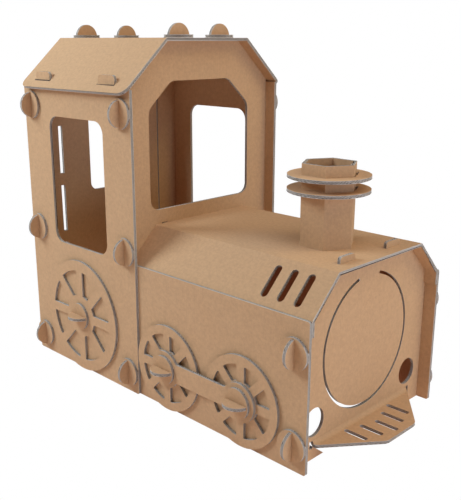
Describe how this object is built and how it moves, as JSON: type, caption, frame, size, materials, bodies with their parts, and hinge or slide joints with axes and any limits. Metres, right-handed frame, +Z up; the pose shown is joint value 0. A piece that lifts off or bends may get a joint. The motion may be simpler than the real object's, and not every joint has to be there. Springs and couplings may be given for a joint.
{
  "type": "cardboard toy train",
  "caption": "Child-size slotted cardboard toy train with a roofed cab, folded boiler, funnel, spoked wheels and coupling rods.",
  "frame": {"origin": "centre of the footprint, on the floor", "axes": "+X forward, from the cab to the boiler's front; +Y to the train's left; +Z up"},
  "size_m": [1.0046, 0.562, 0.8609],
  "materials": {
    "kraft_board": "matt brown kraft liner, grey-brown fluted edges"
  },
  "bodies": {
    "root": {"boiler_cover": "kraft_board", "boiler_front": "kraft_board", "boiler_side_left": "kraft_board", "boiler_side_right": "kraft_board", "boiler_washer_high_left": "kraft_board", "boiler_washer_high_right": "kraft_board", "boiler_washer_low_left": "kraft_board", "boiler_washer_low_right": "kraft_board", "cab_front_wall": "kraft_board", "cab_rear_wall": "kraft_board", "cab_roof": "kraft_board", "cab_side_left": "kraft_board", "cab_side_right": "kraft_board", "cab_washer_front_high_left": "kraft_board", "cab_washer_front_high_right": "kraft_board", "cab_washer_front_low_left": "kraft_board", "cab_washer_front_low_right": "kraft_board", "cab_washer_front_middle_left": "kraft_board", "cab_washer_front_middle_right": "kraft_board", "cab_washer_rear_high_left": "kraft_board", "cab_washer_rear_high_right": "kraft_board", "cab_washer_rear_low_left": "kraft_board", "cab_washer_rear_low_right": "kraft_board", "cab_washer_rear_middle_left": "kraft_board", "cab_washer_rear_middle_right": "kraft_board", "coupling_rod_left": "kraft_board", "coupling_rod_right": "kraft_board", "funnel_disc_lower": "kraft_board", "funnel_disc_upper": "kraft_board", "funnel_tube": "kraft_board", "hub_key_big_left": "kraft_board", "hub_key_big_right": "kraft_board", "hub_key_small_front_left": "kraft_board", "hub_key_small_front_right": "kraft_board", "hub_key_small_rear_left": "kraft_board", "hub_key_small_rear_right": "kraft_board", "hub_washer_big_left": "kraft_board", "hub_washer_big_right": "kraft_board", "hub_washer_small_front_left": "kraft_board", "hub_washer_small_front_right": "kraft_board", "hub_washer_small_rear_left": "kraft_board", "hub_washer_small_rear_right": "kraft_board", "inner_washer_big_left": "kraft_board", "inner_washer_big_right": "kraft_board", "inner_washer_small_front_left": "kraft_board", "inner_washer_small_front_right": "kraft_board", "inner_washer_small_rear_left": "kraft_board", "inner_washer_small_rear_right": "kraft_board", "roof_washer_front_left": "kraft_board", "roof_washer_front_right": "kraft_board", "roof_washer_rear_left": "kraft_board", "roof_washer_rear_right": "kraft_board", "wheel_big_left": "kraft_board", "wheel_big_right": "kraft_board", "wheel_small_front_left": "kraft_board", "wheel_small_front_right": "kraft_board", "wheel_small_rear_left": "kraft_board", "wheel_small_rear_right": "kraft_board"}
  },
  "joints": []
}
